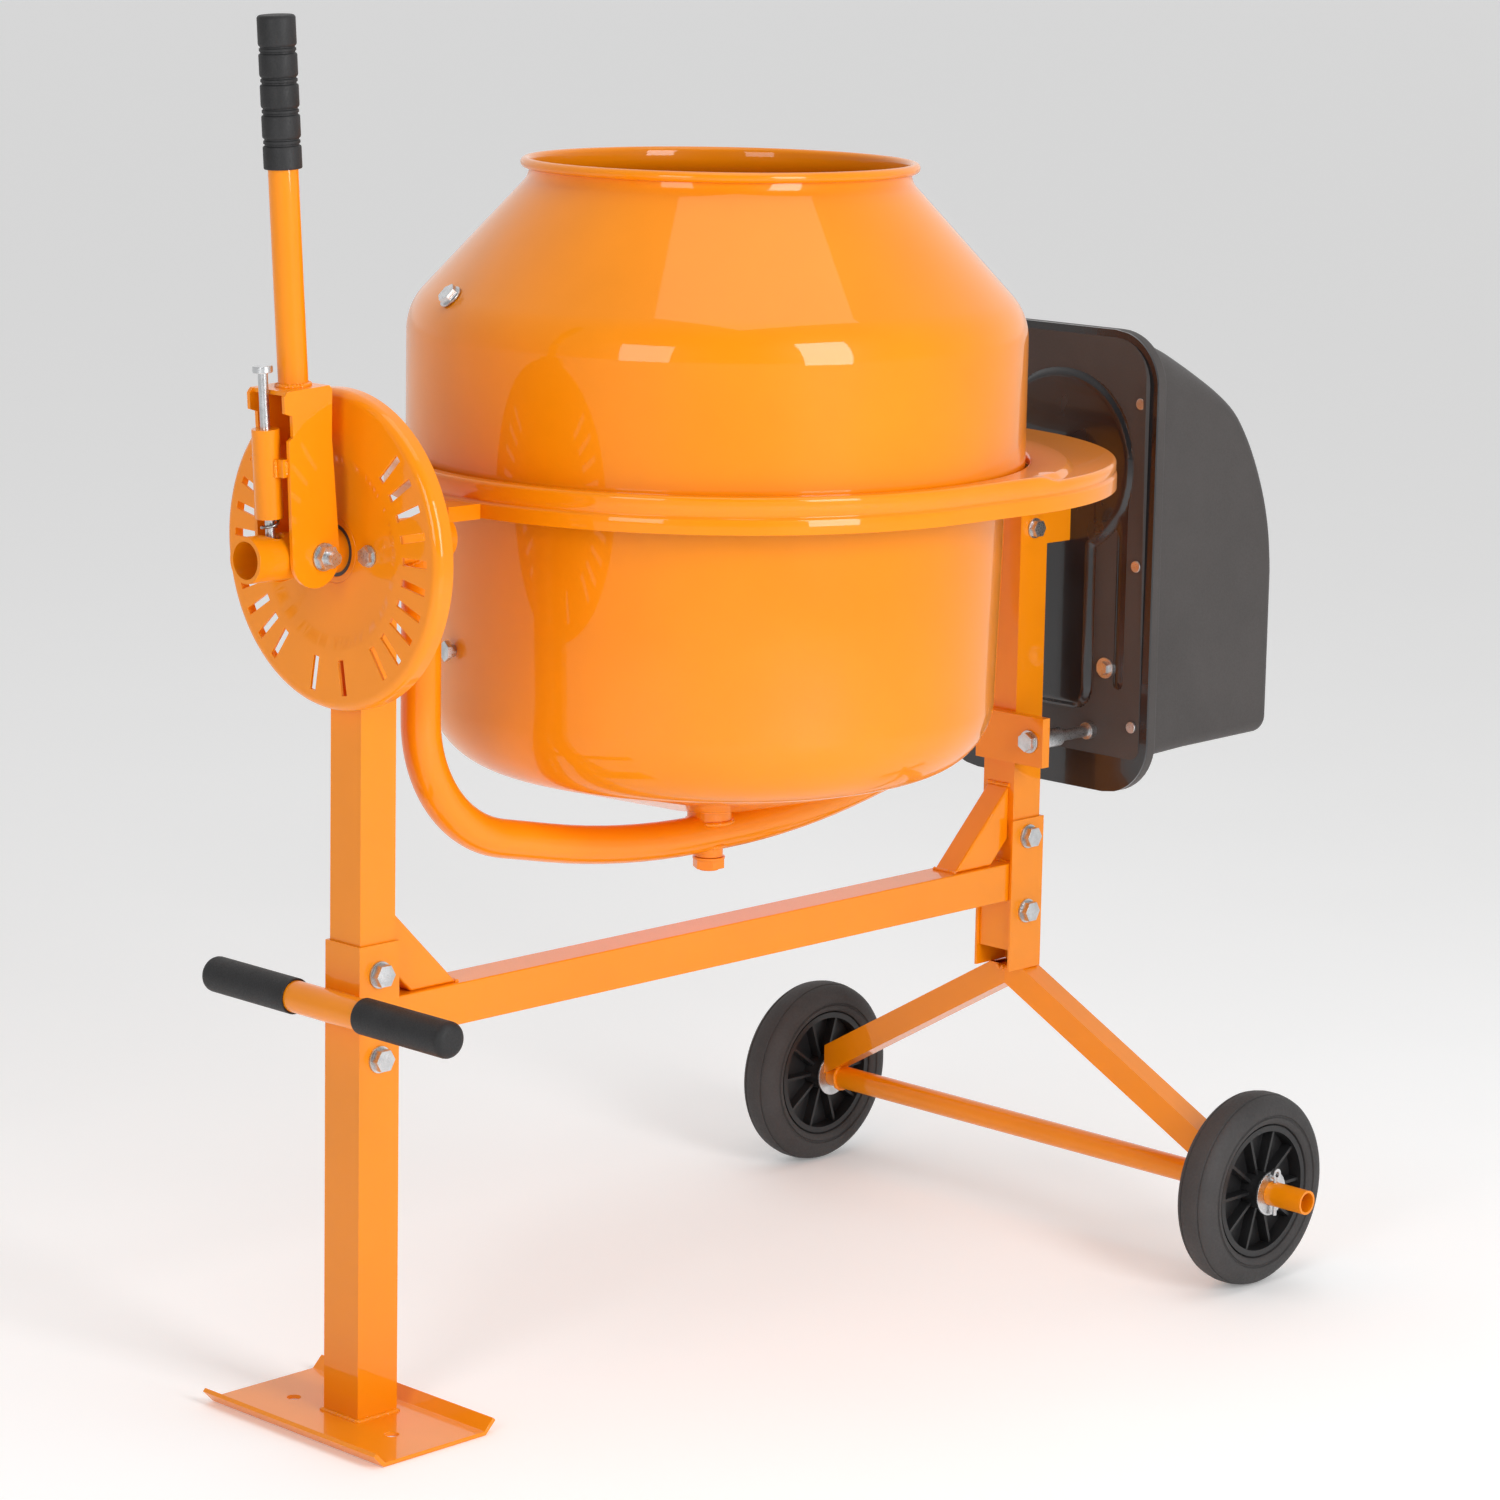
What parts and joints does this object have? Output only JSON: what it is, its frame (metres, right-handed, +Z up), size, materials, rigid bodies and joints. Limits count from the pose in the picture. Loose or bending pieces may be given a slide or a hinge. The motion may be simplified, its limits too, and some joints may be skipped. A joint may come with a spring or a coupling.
{
  "type": "concrete mixer",
  "caption": "Electric tilting-drum concrete mixer: two-part steel drum in a swinging yoke, slotted lock disc with handle, geared drive, motor box, foot leg and transport wheels.",
  "frame": {"origin": "on the ground, midway between the two anchor holes of the foot plate", "axes": "+X along the tilt axis from the lock disc to the motor, +Y across the machine, +Z up"},
  "size_m": [1.346, 0.764, 1.2947],
  "materials": {
    "orange_paint": "glossy orange enamel over steel",
    "zinc_steel": "bright zinc-plated fasteners",
    "bare_steel": "bare machined steel",
    "cast_iron": "rough grey cast iron",
    "pulley_alloy": "turned cast alloy",
    "black_paint": "glossy black enamel over pressed steel",
    "grey_plastic": "moulded dark grey plastic with a fine texture",
    "black_plastic": "moulded black plastic",
    "red_plastic": "red switch rocker",
    "grip_rubber": "soft black rubber grip",
    "tyre_rubber": "solid dark grey rubber",
    "belt_rubber": "black drive belt",
    "motor_casing": "grey painted motor casing",
    "bush_nylon": "dark nylon bush",
    "bush_bronze": "sintered bronze bush"
  },
  "bodies": {
    "frame": {"foot_plate": "orange_paint", "front_leg": "orange_paint", "left_upright": "orange_paint", "right_upright": "orange_paint", "cross_beam": "orange_paint", "beam_braces": "orange_paint", "bearing_sleeves": "orange_paint", "pivot_bushes": "bush_nylon", "lock_disc": "orange_paint", "frame_bolts": "zinc_steel", "lift_bar": "orange_paint", "lift_grips": "grip_rubber", "wheel_bracket": "orange_paint", "near_wheel_leg": "orange_paint", "far_wheel_leg": "orange_paint", "axle_tube": "orange_paint", "axle_washers": "zinc_steel", "cotter_pins": "zinc_steel", "stay_bracket": "orange_paint", "stay_bolt": "zinc_steel", "motor_bracket": "orange_paint", "motor_back_plate": "black_paint", "motor_cover": "grey_plastic", "cover_screws": "zinc_steel", "motor": "motor_casing", "drive_belt": "belt_rubber", "switch_box": "black_plastic", "cable_gland": "black_plastic"},
    "near_wheel": {"near_tyre": "tyre_rubber", "near_hub": "black_plastic"},
    "far_wheel": {"far_tyre": "tyre_rubber", "far_hub": "black_plastic"},
    "yoke": {"yoke_tube": "orange_paint", "left_pivot_tube": "orange_paint", "right_pivot_tube": "orange_paint", "shaft_bearings": "bare_steel", "spindle_housing": "orange_paint", "spindle_bushes": "bush_bronze", "gear_guard": "orange_paint", "guard_brackets": "orange_paint", "handle_pivot_bolt": "zinc_steel"},
    "drum": {"lower_drum": "orange_paint", "upper_drum": "orange_paint", "ring_gear": "cast_iron", "drum_bolts": "zinc_steel", "mixing_blades": "bare_steel", "drum_spindle": "orange_paint"},
    "drive_shaft": {"large_pulley": "pulley_alloy", "pinion_shaft": "bare_steel", "pinion_gear": "cast_iron"},
    "motor_rotor": {"motor_shaft": "bare_steel", "motor_pulley": "pulley_alloy"},
    "handle": {"handle_clevis": "orange_paint", "handle_tube": "orange_paint", "handle_grip": "grip_rubber", "lock_tongue": "orange_paint", "spring_sleeve": "orange_paint", "spring_bolt": "zinc_steel", "handle_spring": "bare_steel"},
    "switch": {"switch_rocker": "red_plastic"}
  },
  "joints": [
    {"name": "drum_tilt", "type": "hinge", "parent": "frame", "child": "yoke", "pos_m": [0.47, 0, 0.817], "axis": [1, 0, 0], "range_deg": [-144, 144]},
    {"name": "drum_spin", "type": "hinge", "parent": "yoke", "child": "drum", "pos_m": [0.47, 0, 0.6], "axis": [0, 0, 1], "continuous": true},
    {"name": "pinion_spin", "type": "hinge", "parent": "yoke", "child": "drive_shaft", "pos_m": [0.47, 0, 0.817], "axis": [1, 0, 0], "continuous": true},
    {"name": "motor_spin", "type": "hinge", "parent": "frame", "child": "motor_rotor", "pos_m": [0.47, 0, 0.6], "axis": [1, 0, 0], "continuous": true},
    {"name": "near_wheel_spin", "type": "hinge", "parent": "frame", "child": "near_wheel", "pos_m": [0.955, -0.308, 0.1], "axis": [0, 1, 0], "continuous": true},
    {"name": "far_wheel_spin", "type": "hinge", "parent": "frame", "child": "far_wheel", "pos_m": [0.955, 0.308, 0.1], "axis": [0, 1, 0], "continuous": true},
    {"name": "handle_swing", "type": "hinge", "parent": "yoke", "child": "handle", "pos_m": [-0.048, 0, 0.817], "axis": [0, -1, 0], "range_deg": [-3.5, 5], "stiffness_Nm_per_rad": 120, "deforming": ["handle_spring"]},
    {"name": "switch_tip", "type": "hinge", "parent": "frame", "child": "switch", "pos_m": [1.219, 0.019, 0.64], "axis": [0, 1, 0], "range_deg": [-8, 8]}
  ],
  "couplings": [
    {"joint": "pinion_spin", "follows": "drum_spin", "ratio": -12},
    {"joint": "motor_spin", "follows": "drum_spin", "ratio": -48}
  ]
}
